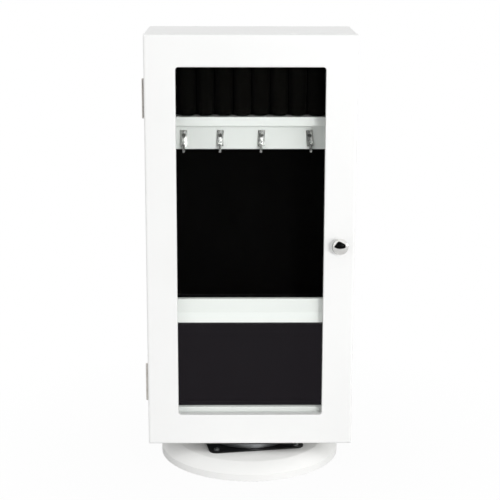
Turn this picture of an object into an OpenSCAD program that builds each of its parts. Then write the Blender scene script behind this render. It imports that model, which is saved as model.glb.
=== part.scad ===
// Counter-top jewelry cabinet on a swivel base, with a framed glass door hinged on its left.
// Millimetres, +Z up, front towards -Y. The origin is the middle of the base's underside.

/* [Cabinet box] */
// Width of the cabinet
cabinet_w = 210; // [190:1:240]
// Depth of the box without its door
cabinet_d = 93; // [84:1:120]
// Height of the box
cabinet_h = 423; // [400:1:460]
// Thickness of the sides, top and bottom
panel_t = 10; // [8:0.5:12]
// Thickness of the back board
back_t = 3; // [2.5:0.5:4]
// Width of the rebate that holds the back board
back_rebate = 5; // [4:0.5:6]
// Rounding of the box's outer edges
box_edge_r = 1.2; // [0.6:0.2:2]

/* [Shelves] */
// Height of the space above the ring shelf
ring_space_h = 75; // [60:0.5:84]
// Thickness of the ring shelf
ring_shelf_t = 9.6; // [8:0.1:12]
// Height of the space below the tray shelf
lower_space_h = 117; // [100:0.5:140]
// Thickness of the tray shelf
tray_t = 6; // [5:0.5:8]
// Height of the two tray lips
lip_h = 25.6; // [18:0.2:32]
// Thickness of the tray lips
lip_t = 6; // [4:0.5:8]
// How far the two lips stand back from the box's front edge
lip_setback = 1.5; // [1:0.5:4]
// How far the ring shelf stands back from the box's front edge
ring_setback = 17.5; // [2:0.5:24]
// Depth of the grooves that hold the shelves
groove_d = 3; // [2:0.5:4]
// Height of the hook rail
rail_h = 27; // [24:0.5:36]
// Thickness of the hook rail
rail_t = 9; // [7:0.5:12]
// Distance from the ring shelf's front edge back to the hook rail
rail_setback = 23; // [10:1:40]

/* [Door] */
// Thickness of the door board
door_t = 14; // [12:0.5:18]
// How far the door's lower edge is above the box's underside
door_foot = 1; // [0.6:0.1:3]
// Width of the door board beside the window
stile_w = 31; // [26:0.5:36]
// Width of the door board above and below the window
door_rail_w = 31.6; // [26:0.2:36]
// Corner radius of the window
window_r = 3; // [2:0.5:5]
// Rounding of the door's outer front edges
door_edge_r = 2.2; // [1:0.1:3]
// Rounding of the window's front edge
window_edge_r = 0.8; // [0.4:0.2:1.2]
// Depth of the window's edge in front of the glass
window_reveal = 6; // [4:0.5:7]
// Width of the rebate that holds the glass
glass_rebate = 6; // [4:0.5:8]
// Thickness of the glass
glass_t = 3; // [2:0.5:4]
// How far the strips that hold the glass stay inside the door's back
bead_recess = 0.6; // [0:0.1:1.5]
// Width of the strips that hold the glass
bead_w = 5; // [3:0.5:5.5]

/* [Hinges] */
// Length of each hinge
hinge_len = 38; // [30:1:50]
// Length of the middle knuckle
mid_knuckle = 19; // [12:0.5:24]
// Diameter of the knuckles
knuckle_d = 3; // [2.8:0.1:4.4]
// Diameter of the hinge pin
hinge_pin_d = 1.6; // [1.4:0.1:1.8]
// Thickness of the hinge leaves
leaf_t = 0.8; // [0.6:0.05:1.2]
// Gap between the two leaves of a closed hinge
leaf_play = 0.2; // [0.1:0.05:0.5]
// Distance from each end of the box to the nearer hinge
hinge_inset = 45; // [30:1:80]

/* [Knob and catch] */
// Height of the knob above the middle of the door
knob_lift = 2; // [0:0.5:10]
// Diameter of the knob
knob_d = 16.4; // [14:0.2:20]
// How far the knob stands out of the door
knob_reach = 17; // [14:0.5:22]
// Diameter of the knob's foot
knob_foot_d = 10; // [8:0.5:12]
// Diameter of the knob's neck
knob_neck_d = 7; // [6:0.5:9]
// Diameter of the catch magnet
magnet_d = 6; // [4:0.5:7]
// Length of the catch magnet
magnet_len = 6; // [4:0.5:10]
// Diameter of the strike plate
strike_d = 9; // [8:0.5:9.5]
// Diameter of the door bumpers
bumper_d = 7; // [5:0.5:8]

/* [Base] */
// Diameter of the base
base_d = 188; // [170:1:210]
// Thickness of the base disc
base_t = 15; // [12:0.5:18]
// Height of the base disc's upright edge
rim_h = 7; // [4:0.5:9]
// Width of the swelling margin round the base's flat top
base_margin = 16; // [10:0.5:20]
// Slope in degrees of the base's margin where it meets the flat top
margin_slope = 12; // [0:1:15]
// Thickness of the felt under the base
felt_t = 1; // [0.8:0.1:2]
// How far the felt stays inside the base's edge
felt_inset = 2; // [1:0.5:6]

/* [Swivel bearing] */
// How far the square bearing plates reach past the outer ring
plate_margin = 3.5; // [2:0.5:8]
// Thickness of the bearing plates
plate_t = 1.2; // [1:0.1:1.6]
// Corner radius of the bearing plates
plate_r = 8; // [5:0.5:12]
// Diameter of the opening in the middle of the bearing plates
plate_hole_d = 42; // [30:1:50]
// Height of the whole bearing
bearing_h = 9; // [8:0.5:10]
// Diameter of the ring of balls
ball_ring_d = 80; // [74:1:84]
// Diameter of the balls
ball_d = 4; // [3.5:0.5:4.5]
// Number of balls
ball_count = 30; // [16:1:40]
// Clearance of the balls in their grooves
race_gap = 0.15; // [0.1:0.05:0.3]
// Clearance between the ball ridges and the bearing's outer ring
ring_clearance = 1.7; // [0.5:0.1:3]
// Thickness of the bearing's outer ring
bearing_ring_t = 0.8; // [0.5:0.1:1.2]
// Angle of the lower plate to the cabinet at rest
lower_plate_turn = 9.3; // [0:0.1:20]
// Distance from a plate's edge to its screws
plate_screw_inset = 8; // [6:0.5:9]
// Distance from the box's front to the upper plate's front screws
upper_screw_inset = 5.6; // [5:0.2:8]

/* [Ring rolls and lining] */
// Number of ring rolls
roll_count = 10; // [8:1:11]
// Gap between neighbouring rolls
roll_gap = 0.15; // [0.1:0.05:0.5]
// Gap between the left side and the first roll
roll_left_gap = 3.2; // [0.3:0.1:6]
// Gap between the last roll and the right side
roll_right_gap = 0.3; // [0.3:0.1:6]
// Rounding of the ends of the rolls
roll_end_r = 3; // [1:0.5:4]
// Thickness of the board that the rolls are glued to
roll_board_t = 3; // [2:0.5:4]
// Thickness of the lining pads
lining_t = 2; // [1:0.5:3]

/* [Necklace hooks] */
// Width of a hook's plate
hook_w = 7; // [6:0.5:8]
// Height of a hook's plate
hook_h = 16.6; // [14:0.2:19]
// Thickness of the hook metal
hook_t = 1; // [0.8:0.1:1.2]
// Width of the bent finger at its root
finger_w = 3; // [2.6:0.2:4]
// Radius of the finger's bend, inside
finger_r = 2.6; // [2:0.2:4]
// Straight length of the finger below the plate
finger_drop = 3.2; // [2:0.2:5]
// Height of the finger's free end above its bend
finger_rise = 6.6; // [2:0.2:8]
// Distance from the rail's lower edge to the hook plate
hook_lift = 3.4; // [2:0.2:6]
// Places of the hooks left and right of the middle
hook_xs = [-68, -30.5, 11.6, 61.2]; // [-80:0.1:80]
// Degrees that each hook hangs askew about its screw
hook_tilts = [0.4, 1.3, 1.8, -4.3]; // [-6:0.1:6]

/* [Screws] */
// Shank diameter of the hinge and hook screws
small_screw_d = 1.8; // [1.5:0.1:2]
// Length of the hinge and hook screws under the head
small_screw_len = 7; // [5:0.5:8]
// Shank diameter of the bearing screws
plate_screw_d = 3; // [2.5:0.1:3.5]
// Length of the bearing screws under the head
plate_screw_len = 9; // [7:0.5:9.5]
// Shank diameter of the knob screw
knob_screw_d = 4; // [3:0.1:4]
// Diameter of the dowels that join the box
dowel_d = 5; // [4:0.5:6]
// Length of the dowels
dowel_len = 20; // [14:1:26]

/* [Hidden] */
$fn = 64;

paint = "#f4f4f2";
velvet = "#101012";
steel = "#a8a8a6";
chrome = "#d9dbdd";
black_steel = "#26262a";

// a small overlap for cuts only
cut = 0.5;
// clearance of shanks and dowels in their pilot holes
pilot_gap = 0.05;
// side clearance of soft pads and of the glass
pad_gap = 0.5;
// clearance between hinge parts that turn past each other
knuckle_gap = 0.3;
// running clearance of the hinge pins
pin_gap = 0.05;

// knob proportions along its axis
knob_foot_h = 2;
knob_dome_h = 4.5;
knob_rim_r = 2.2;
knob_bore = 9;
knob_screw_gap = 1;
knob_screw_head_h = 1.5;

// small fits
// half the width of the ridge that the balls run in, and the gap from its crest to the middle
race_half = 4;
race_crest_gap = 0.6;
shelf_edge_r = 0.8;
plate_hole_gap = 0.4;
hook_hole_gap = 0.2;
hook_corner_r = 1;
hook_screw_drop = 5.4;
hook_screw_head = 4.2;
hook_screw_head_h = 1.2;
hook_eye_z = 4;
roll_setback = 0.5;
roll_flat_depth = 2.5;
bead_joint = 0.1;
leaf_screw_head = 3.4;
leaf_margin = 1;
leaf_screw_shift = 0.6;
pin_head_h = 0.9;
bearing_ring_gap = 0.5;
catch_gap = 0.3;
bumper_inset = 14;
bumper_gap = 0.3;
dowel_inset = 18;
dowel_sink = 6;

// the gap that the closed hinges keep between the door and the box
door_gap = 2 * leaf_t + leaf_play;
bead_h = door_t - window_reveal - glass_t - bead_recess;
magnet_proud = door_gap - leaf_t - catch_gap;

// heights
disc_top = felt_t + base_t;
box_z = disc_top + bearing_h;
box_top = box_z + cabinet_h;
floor_z = box_z + panel_t;
ceiling_z = box_top - panel_t;
door_z = box_z + door_foot;
door_h = cabinet_h - door_foot;
mid_z = door_z + door_h / 2;
knob_z = mid_z + knob_lift;
ring_top = ceiling_z - ring_space_h;
ring_z = ring_top - ring_shelf_t;
tray_under = floor_z + lower_space_h;
tray_top = tray_under + tray_t;

// depths
back_y = (cabinet_d + door_gap + door_t) / 2;
front_y = back_y - cabinet_d;
inner_back_y = back_y - back_t;
lip_y = front_y + lip_setback;
ring_y = front_y + ring_setback;
rail_y = ring_y + rail_setback;
door_back_y = front_y - door_gap;
door_front_y = door_back_y - door_t;

// widths
side_x = cabinet_w / 2;
inner_x = side_x - panel_t;
window_x = side_x - stile_w;
window_h = door_h - 2 * door_rail_w;
stile_mid_x = side_x - stile_w / 2;
edge_mid_x = side_x - panel_t / 2;

// hinge
pin_x = -side_x - knuckle_d / 2;
pin_y = (front_y + door_back_y) / 2;
leaf_x = -inner_x - leaf_margin;
upper_hinge_z = box_top - hinge_inset - hinge_len;
lower_hinge_z = box_z + hinge_inset;
end_knuckle = (hinge_len - mid_knuckle) / 2;
leaf_screw_x = leaf_screw_shift - edge_mid_x;
leaf_screw_z = hinge_len / 4;

// bearing
lower_plate_top = disc_top + plate_t;
upper_plate_under = box_z - plate_t;
race_mid = (lower_plate_top + upper_plate_under) / 2;
bearing_ring_d = ball_ring_d + 2 * (race_half + ring_clearance + bearing_ring_t);
plate_w = bearing_ring_d + 2 * plate_margin;
plate_screw_pitch = plate_w - 2 * plate_screw_inset;
upper_screw_pitch = -2 * (front_y + upper_screw_inset);

// rolls
roll_pitch = (2 * inner_x - roll_left_gap - roll_right_gap + roll_gap) / roll_count;
roll_d = roll_pitch - roll_gap;
roll_x = roll_left_gap + roll_d / 2 - inner_x;
roll_y = ring_y + roll_setback + roll_d / 2;
roll_back_cut = roll_d / 2 - roll_flat_depth;
roll_board_y = roll_y + roll_back_cut;
roll_h = ceiling_z - ring_top - pad_gap;

// hooks
hook_z = ring_z - rail_h + hook_lift;
hook_screw_z = hook_h - hook_screw_drop;

// knob
knob_head_h = knob_reach - knob_dome_h;

// A flat rectangle from [x, y], with radius r on the corners that round_at marks with 1:
// lower left, lower right, upper right, upper left.
module corner_rect(x, y, w, h, r, round_at = [1, 1, 1, 1]) {
    difference() {
        translate([x, y]) square([w, h]);
        for (i = [0 : 3])
            if (round_at[i] == 1) {
                sx = (i == 1 || i == 2) ? 1 : -1;
                sy = i >= 2 ? 1 : -1;
                cx = sx > 0 ? x + w - r : x + r;
                cy = sy > 0 ? y + h - r : y + r;
                difference() {
                    translate([sx > 0 ? cx : cx - r - cut, sy > 0 ? cy : cy - r - cut]) square(r + cut);
                    translate([cx, cy]) circle(r = r);
                }
            }
    }
}

// A flat rectangle with four round corners, centred.
module round_rect(w, h, r) {
    corner_rect(-w / 2, -h / 2, w, h, r);
}

// Extrude a flat YZ outline along X, or a flat XZ outline along Y.
module along_x(x0, x1) {
    translate([x0, 0, 0]) rotate([90, 0, 90]) linear_extrude(x1 - x0) children();
}

module along_y(y0, y1) {
    translate([0, y1, 0]) rotate([90, 0, 0]) linear_extrude(y1 - y0) children();
}

// A shelf, lip or rail: a bar along X whose section is y0..y1 by z0..z1 with eased front edges.
module bar(x_half, y0, y1, z0, z1, back_too = 0) {
    along_x(-x_half, x_half)
        corner_rect(y0, z0, y1 - y0, z1 - z0, shelf_edge_r, [1, back_too, back_too, 1]);
}

// A countersunk screw along -Z: its shank starts at z = 0 and its head rises to head_h.
module flat_screw(d, head_d, head_h, len) {
    difference() {
        union() {
            cylinder(d1 = d, d2 = head_d, h = head_h);
            screw_shank(d, len);
        }
        cross_recess(head_d, head_h);
    }
}

// A round-headed screw along -Z with its head on z = 0.
module pan_screw(d, head_d, head_h, len) {
    difference() {
        union() {
            intersection() {
                translate([0, 0, head_h - head_d * 0.75]) sphere(d = head_d * 1.5);
                cylinder(d = head_d, h = head_h);
            }
            screw_shank(d, len);
        }
        cross_recess(head_d, head_h);
    }
}

module screw_shank(d, len) {
    translate([0, 0, d - len]) cylinder(d = d, h = len - d);
    translate([0, 0, -len]) cylinder(d1 = d / 5, d2 = d, h = d);
}

module cross_recess(head_d, head_h) {
    slot = head_d / 10;
    for (a = [0, 90])
        rotate([0, 0, a]) translate([-head_d * 0.28, -slot / 2, head_h * 0.5])
            cube([head_d * 0.56, slot, head_h]);
}

// The four corners of a bearing plate's screw pattern, depth apart from front to back.
module at_plate_screws(depth) {
    for (x = [-1, 1], y = [-1, 1])
        translate([x * plate_screw_pitch / 2, y * depth / 2, 0]) children();
}

module pilot_hole(d, len) {
    translate([0, 0, -len - cut]) cylinder(d = d + 2 * pilot_gap, h = len + 2 * cut);
}

// Base: felt, then a turned disc with an upright edge and a swelling margin round its flat top.
module base_felt() {
    color(velvet) cylinder(d = base_d - 2 * felt_inset, h = felt_t, $fn = 128);
}

module base_profile() {
    flat_r = base_d / 2 - base_margin;
    rise = base_t - rim_h;
    chord = sqrt(base_margin * base_margin + rise * rise);
    swell_r = chord / (2 * sin(atan(rise / base_margin) - margin_slope));
    square([base_d / 2, rim_h]);
    square([flat_r, base_t]);
    intersection() {
        translate([flat_r - cut, 0]) square([base_margin + cut, base_t]);
        translate([flat_r - swell_r * sin(margin_slope), base_t - swell_r * cos(margin_slope)])
            circle(r = swell_r, $fn = 180);
    }
}

module base_disc() {
    color(paint) difference() {
        translate([0, 0, felt_t]) rotate_extrude($fn = 128) base_profile();
        rotate([0, 0, lower_plate_turn]) at_plate_screws(plate_screw_pitch)
            translate([0, 0, disc_top]) pilot_hole(plate_screw_d, plate_screw_len - plate_t);
    }
}

// Swivel bearing: two stamped plates with ridges for the balls, and a ring round them.
module bearing_plate(groove_z, screw_depth) {
    difference() {
        union() {
            linear_extrude(plate_t) round_rect(plate_w, plate_w, plate_r);
            cylinder(d = ball_ring_d + 2 * race_half, h = groove_z - race_crest_gap, $fn = 128);
        }
        translate([0, 0, plate_t]) cylinder(d = ball_ring_d - 2 * race_half, h = groove_z, $fn = 128);
        translate([0, 0, -cut]) cylinder(d = plate_hole_d, h = groove_z + cut, $fn = 128);
        translate([0, 0, groove_z]) rotate_extrude($fn = 128)
            translate([ball_ring_d / 2, 0]) circle(d = ball_d + 2 * race_gap);
        at_plate_screws(screw_depth) translate([0, 0, -cut])
            cylinder(d = plate_screw_d + 2 * plate_hole_gap, h = plate_t + 2 * cut);
    }
}

module bearing_lower_plate() {
    color(black_steel) translate([0, 0, disc_top]) rotate([0, 0, lower_plate_turn])
        bearing_plate(race_mid - disc_top, plate_screw_pitch);
}

module bearing_upper_plate() {
    color(black_steel) translate([0, 0, box_z]) mirror([0, 0, 1])
        bearing_plate(box_z - race_mid, upper_screw_pitch);
}

module bearing_ring() {
    ring_under = lower_plate_top + bearing_ring_gap;
    color(steel) translate([0, 0, ring_under]) difference() {
        cylinder(d = bearing_ring_d, h = upper_plate_under - ring_under, $fn = 128);
        translate([0, 0, -cut])
            cylinder(d = bearing_ring_d - 2 * bearing_ring_t, h = bearing_h, $fn = 128);
    }
}

module bearing_balls() {
    color(steel) for (i = [0 : ball_count - 1])
        rotate([0, 0, i * 360 / ball_count]) translate([ball_ring_d / 2, 0, race_mid])
            sphere(d = ball_d, $fn = 32);
}

module plate_screw() {
    pan_screw(plate_screw_d, plate_screw_d * 2, plate_screw_d * 0.6, plate_screw_len);
}

module lower_plate_screws() {
    color(steel) rotate([0, 0, lower_plate_turn]) at_plate_screws(plate_screw_pitch)
        translate([0, 0, lower_plate_top]) plate_screw();
}

module upper_plate_screws() {
    color(steel) at_plate_screws(upper_screw_pitch) translate([0, 0, upper_plate_under])
        mirror([0, 0, 1]) plate_screw();
}

// Box: top and bottom boards across the ends of the sides, dowelled; back board in a rebate.
module back_rebate_cut() {
    w = inner_x + back_rebate;
    translate([-w, inner_back_y, floor_z - back_rebate])
        cube([2 * w, back_t + cut, ceiling_z - floor_z + 2 * back_rebate]);
}

module dowels(d, extra) {
    for (x = [-1, 1], y = [front_y + dowel_inset, back_y - dowel_inset])
        for (z = [floor_z - dowel_sink, ceiling_z + dowel_sink - dowel_len])
            translate([x * edge_mid_x, y, z - extra]) cylinder(d = d, h = dowel_len + 2 * extra);
}

// An end board with its outer edges rounded: z0 is its underside, up is 1 for the top board.
module end_board(z0, up) {
    intersection() {
        translate([0, 0, z0]) linear_extrude(panel_t)
            corner_rect(-side_x, front_y, cabinet_w, cabinet_d, box_edge_r, [0, 0, 1, 1]);
        along_y(front_y, back_y)
            corner_rect(-side_x, z0, cabinet_w, panel_t, box_edge_r, [1 - up, 1 - up, up, up]);
        along_x(-side_x, side_x)
            corner_rect(front_y, z0, cabinet_d, panel_t, box_edge_r, [0, 1 - up, up, 0]);
    }
}

module bottom_panel() {
    color(paint) difference() {
        end_board(box_z, 0);
        back_rebate_cut();
        dowels(dowel_d + 2 * pilot_gap, pilot_gap);
        at_plate_screws(upper_screw_pitch) translate([0, 0, box_z]) mirror([0, 0, 1])
            pilot_hole(plate_screw_d, plate_screw_len - plate_t);
    }
}

module top_panel() {
    color(paint) difference() {
        end_board(ceiling_z, 1);
        back_rebate_cut();
        dowels(dowel_d + 2 * pilot_gap, pilot_gap);
    }
}

// A side board, with grooves for the two shelves: s is -1 for the left and 1 for the right.
module side_board(s) {
    groove_x = s > 0 ? inner_x - cut : -inner_x - groove_d;
    difference() {
        translate([0, 0, floor_z]) linear_extrude(ceiling_z - floor_z)
            corner_rect(s > 0 ? inner_x : -side_x, front_y, panel_t, cabinet_d, box_edge_r,
                s > 0 ? [0, 0, 1, 0] : [0, 0, 0, 1]);
        back_rebate_cut();
        dowels(dowel_d + 2 * pilot_gap, pilot_gap);
        translate([groove_x, ring_y, ring_z]) cube([groove_d + cut, cabinet_d, ring_shelf_t]);
        translate([groove_x, lip_y + lip_t, tray_under]) cube([groove_d + cut, cabinet_d, tray_t]);
    }
}

module left_side() {
    color(paint) difference() {
        side_board(-1);
        at_leaf_screws() translate([leaf_screw_x, front_y, 0]) rotate([90, 0, 0])
            pilot_hole(small_screw_d, small_screw_len);
    }
}

module right_side() {
    color(paint) difference() {
        side_board(1);
        translate([edge_mid_x, front_y, mid_z]) rotate([90, 0, 0])
            pilot_hole(magnet_d, magnet_len - magnet_proud);
    }
}

module back_board() {
    w = inner_x + back_rebate;
    color(paint) translate([-w, inner_back_y, floor_z - back_rebate])
        cube([2 * w, back_t, ceiling_z - floor_z + 2 * back_rebate]);
}

module panel_dowels() {
    color("#c9a876") dowels(dowel_d, 0);
}

// Shelves, lips and rail
module ring_shelf() {
    color(paint) bar(inner_x + groove_d, ring_y, inner_back_y, ring_z, ring_top);
}

module hook_rail() {
    color(paint) difference() {
        bar(inner_x, rail_y, rail_y + rail_t, ring_z - rail_h, ring_z);
        for (x = hook_xs)
            translate([x, rail_y, hook_z + hook_screw_z]) rotate([90, 0, 0])
                pilot_hole(small_screw_d, small_screw_len - hook_t);
    }
}

module tray_shelf() {
    w = inner_x + groove_d;
    color(paint) translate([-w, lip_y + lip_t, tray_under])
        cube([2 * w, inner_back_y - lip_y - lip_t, tray_t]);
}

module tray_lip() {
    color(paint) bar(inner_x, lip_y, lip_y + lip_t, tray_under, tray_under + lip_h, 1);
}

module bottom_lip() {
    color(paint) bar(inner_x, lip_y, lip_y + lip_t, floor_z, floor_z + lip_h, 1);
}

// Necklace hooks: a drilled plate whose narrow finger bends forward and up again.
module hook_finger() {
    outer_r = finger_r + hook_t;
    difference() {
        along_x(-finger_w / 2, finger_w / 2) {
            translate([-hook_t, -finger_drop]) square([hook_t, finger_drop + 1]);
            difference() {
                translate([-outer_r, -finger_drop]) circle(r = outer_r);
                translate([-outer_r, -finger_drop]) circle(r = finger_r);
                translate([-2 * outer_r - cut, -finger_drop]) square([2 * outer_r + 2 * cut, outer_r + cut]);
            }
            translate([-2 * outer_r, -finger_drop]) square([hook_t, finger_rise]);
        }
        // the free end narrows to a round tip
        translate([0, -2 * outer_r - cut, finger_rise - finger_drop - finger_w / 2]) rotate([-90, 0, 0])
            linear_extrude(hook_t + 2 * cut) difference() {
                translate([-finger_w, -finger_w]) square([2 * finger_w, finger_w]);
                circle(d = finger_w);
            }
    }
}

module necklace_hook() {
    difference() {
        union() {
            along_y(-hook_t, 0) corner_rect(-hook_w / 2, 0, hook_w, hook_h, hook_corner_r);
            hook_finger();
        }
        for (z = [hook_screw_z, hook_eye_z])
            translate([0, cut, z]) rotate([90, 0, 0])
                cylinder(d = small_screw_d + 2 * hook_hole_gap, h = hook_t + 2 * cut);
    }
}

module necklace_hooks() {
    color(chrome) for (i = [0 : len(hook_xs) - 1])
        translate([hook_xs[i], rail_y, hook_z + hook_screw_z]) rotate([0, hook_tilts[i], 0])
            translate([0, 0, -hook_screw_z]) necklace_hook();
}

module hook_screws() {
    color(steel) for (x = hook_xs)
        translate([x, rail_y - hook_t, hook_z + hook_screw_z]) rotate([90, 0, 0])
            pan_screw(small_screw_d, hook_screw_head, hook_screw_head_h, small_screw_len);
}

// Ring rolls: upright padded rolls with round ends, flat where they are glued to their board.
module ring_roll() {
    intersection() {
        rotate_extrude() difference() {
            corner_rect(0, 0, roll_d / 2, roll_h, roll_end_r, [0, 1, 1, 0]);
            translate([-2 * cut, -cut]) square([2 * cut, roll_h + 2 * cut]);
        }
        translate([-roll_d, -roll_d, 0]) cube([2 * roll_d, roll_d + roll_back_cut, roll_h]);
    }
}

module ring_rolls() {
    color(velvet) for (i = [0 : roll_count - 1])
        translate([roll_x + i * roll_pitch, roll_y, ring_top]) ring_roll();
}

module pad(y0, y1, z0, z1) {
    w = inner_x - pad_gap;
    translate([-w, y0, z0]) cube([2 * w, y1 - y0, z1 - z0]);
}

module roll_board() {
    color(velvet) pad(roll_board_y, roll_board_y + roll_board_t, ring_top, ceiling_z - pad_gap);
}

// Lining: boards on the back, pads on the two floors.
module necklace_lining() {
    color(velvet) pad(inner_back_y - lining_t, inner_back_y, tray_top, ring_z - pad_gap);
}

module lower_lining() {
    color(velvet) pad(inner_back_y - lining_t, inner_back_y, floor_z, tray_under - pad_gap);
}

module tray_pad() {
    color(velvet) pad(lip_y + lip_t + pad_gap, inner_back_y - lining_t - pad_gap,
        tray_top, tray_top + lining_t);
}

module bottom_pad() {
    color(velvet) pad(lip_y + lip_t + pad_gap, inner_back_y - lining_t - pad_gap,
        floor_z, floor_z + lining_t);
}

// Hinges: the end knuckles are on the box's leaf and the middle one on the door's.
module at_hinges() {
    for (z = [lower_hinge_z, upper_hinge_z]) translate([0, 0, z]) children();
}

module at_leaf_screws() {
    at_hinges() for (z = [leaf_screw_z, hinge_len - leaf_screw_z]) translate([0, 0, z]) children();
}

module knuckles(d, at_ends, gap) {
    if (at_ends) {
        translate([0, 0, -gap]) cylinder(d = d, h = end_knuckle + 2 * gap);
        translate([0, 0, hinge_len - end_knuckle - gap]) cylinder(d = d, h = end_knuckle + 2 * gap);
    } else {
        translate([0, 0, end_knuckle - gap]) cylinder(d = d, h = mid_knuckle + 2 * gap);
    }
}

// A leaf with its pin on the Z axis, reaching towards +X on the +Y side of the joint.
module hinge_leaf(at_ends) {
    difference() {
        union() {
            translate([0, door_gap / 2 - leaf_t, 0]) cube([leaf_x - pin_x, leaf_t, hinge_len]);
            knuckles(knuckle_d, at_ends, at_ends ? 0 : -knuckle_gap);
        }
        knuckles(knuckle_d + 2 * knuckle_gap, !at_ends, at_ends ? 0 : knuckle_gap);
        translate([0, 0, -cut]) cylinder(d = hinge_pin_d + 2 * pin_gap, h = hinge_len + 2 * cut);
        for (z = [leaf_screw_z, hinge_len - leaf_screw_z])
            translate([leaf_screw_x - pin_x, door_gap / 2, z]) rotate([90, 0, 0])
                cylinder(d1 = small_screw_d + 2 * pilot_gap, d2 = leaf_screw_head + 2 * pilot_gap, h = leaf_t);
    }
}

module box_leaf(z) {
    color(steel) translate([pin_x, pin_y, z]) hinge_leaf(true);
}

module door_leaf(z) {
    color(steel) translate([pin_x, pin_y, z]) mirror([0, 1, 0]) hinge_leaf(false);
}

module upper_hinge_box_leaf() { box_leaf(upper_hinge_z); }
module lower_hinge_box_leaf() { box_leaf(lower_hinge_z); }
module upper_hinge_door_leaf() { door_leaf(upper_hinge_z); }
module lower_hinge_door_leaf() { door_leaf(lower_hinge_z); }

module hinge_pins() {
    color(steel) at_hinges() translate([pin_x, pin_y, 0]) {
        cylinder(d = hinge_pin_d, h = hinge_len);
        translate([0, 0, hinge_len]) pin_head();
        mirror([0, 0, 1]) pin_head();
    }
}

module pin_head() {
    intersection() {
        sphere(d = knuckle_d);
        cylinder(d = knuckle_d, h = pin_head_h);
    }
}

module leaf_screws(y, toward) {
    color(steel) at_leaf_screws() translate([leaf_screw_x, y, 0]) rotate([90 * toward, 0, 0])
        flat_screw(small_screw_d, leaf_screw_head, leaf_t, small_screw_len);
}

module box_leaf_screws() { leaf_screws(front_y, 1); }
module door_leaf_screws() { leaf_screws(door_back_y, -1); }

// Door: one board with a routed window, rebated at the back for the glass.
// The window's own frame: X across, Y up, Z into the door from its front face.
module in_window() {
    translate([0, door_front_y, mid_z]) rotate([90, 0, 0]) mirror([0, 0, 1]) children();
}

module edge_flare(r) {
    difference() {
        translate([-cut, -cut]) square(r + cut);
        translate([r, r]) circle(r = r, $fn = 32);
    }
}

// What rounding the window's front edge takes away.
module window_flare(w, h, r, edge_r) {
    for (a = [0, 90, 180, 270]) {
        across = a % 180 == 0 ? w : h;
        along = a % 180 == 0 ? h : w;
        rotate([0, 0, a]) {
            translate([across / 2, along / 2 - r, 0]) rotate([90, 0, 0])
                linear_extrude(along - 2 * r) edge_flare(edge_r);
            translate([across / 2 - r, along / 2 - r, 0])
                rotate_extrude(angle = 90) translate([r, 0]) edge_flare(edge_r);
        }
    }
}

module door_board() {
    color(paint) difference() {
        intersection() {
            translate([0, 0, door_z]) linear_extrude(door_h)
                corner_rect(-side_x, door_front_y, cabinet_w, door_t, door_edge_r, [1, 1, 0, 0]);
            along_x(-side_x, side_x)
                corner_rect(door_front_y, door_z, door_t, door_h, door_edge_r, [1, 0, 0, 1]);
        }
        in_window() {
            translate([0, 0, -cut]) linear_extrude(door_t + 2 * cut)
                round_rect(2 * window_x, window_h, window_r);
            window_flare(2 * window_x, window_h, window_r, window_edge_r);
            translate([0, 0, window_reveal]) linear_extrude(door_t)
                square([2 * (window_x + glass_rebate), window_h + 2 * glass_rebate], center = true);
        }
        at_leaf_screws() translate([leaf_screw_x, door_back_y, 0]) rotate([-90, 0, 0])
            pilot_hole(small_screw_d, small_screw_len);
        translate([stile_mid_x, door_back_y, knob_z]) rotate([-90, 0, 0])
            pilot_hole(knob_screw_d, door_t);
        translate([edge_mid_x, door_back_y, mid_z]) rotate([-90, 0, 0])
            pilot_hole(small_screw_d, small_screw_len);
    }
}

module glass_pane() {
    lap = 2 * (glass_rebate - pad_gap);
    color([0.86, 0.92, 0.9, 0.35]) in_window() translate([0, 0, window_reveal])
        linear_extrude(glass_t) square([2 * window_x + lap, window_h + lap], center = true);
}

module glass_beads() {
    w = window_x + glass_rebate;
    h = window_h / 2 + glass_rebate;
    color(paint) in_window() translate([0, 0, window_reveal + glass_t]) {
        for (y = [-h, h - bead_w]) translate([-w, y, 0]) cube([2 * w, bead_w, bead_h]);
        for (x = [-w, w - bead_w]) translate([x, bead_w + bead_joint - h, 0])
            cube([bead_w, 2 * (h - bead_w - bead_joint), bead_h]);
    }
}

// Knob: a foot, a hollow neck and a head whose dome runs tangent into its round rim.
module knob() {
    rim_x = knob_d / 2 - knob_rim_r;
    rim_drop = knob_head_h - knob_reach;
    dome_r = (rim_x * rim_x + rim_drop * rim_drop - knob_rim_r * knob_rim_r) / (-2 * (rim_drop + knob_rim_r));
    neck_top = knob_head_h - knob_rim_r;
    neck_r = (neck_top - knob_foot_h) / 2;
    color(chrome) translate([stile_mid_x, door_front_y, knob_z]) rotate([90, 0, 0]) difference() {
        rotate_extrude() {
            square([knob_foot_d / 2, knob_foot_h]);
            difference() {
                polygon([[0, 0], [knob_foot_d / 2, knob_foot_h], [rim_x, neck_top], [0, neck_top]]);
                translate([knob_neck_d / 2 + neck_r, knob_foot_h + neck_r]) circle(r = neck_r);
            }
            translate([0, neck_top]) square([rim_x, knob_rim_r]);
            translate([rim_x, knob_head_h]) circle(r = knob_rim_r);
            intersection() {
                translate([0, knob_reach - dome_r]) circle(r = dome_r, $fn = 128);
                translate([0, knob_head_h]) square([rim_x * (dome_r / (dome_r - knob_rim_r)), knob_reach]);
            }
        }
        translate([0, 0, -cut]) cylinder(d = knob_screw_d + 2 * pilot_gap, h = knob_bore + cut);
    }
}

module knob_screw() {
    color(steel) translate([stile_mid_x, door_back_y, knob_z]) rotate([-90, 0, 0])
        pan_screw(knob_screw_d, knob_screw_d * 1.8, knob_screw_head_h, door_t + knob_bore - knob_screw_gap);
}

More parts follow.
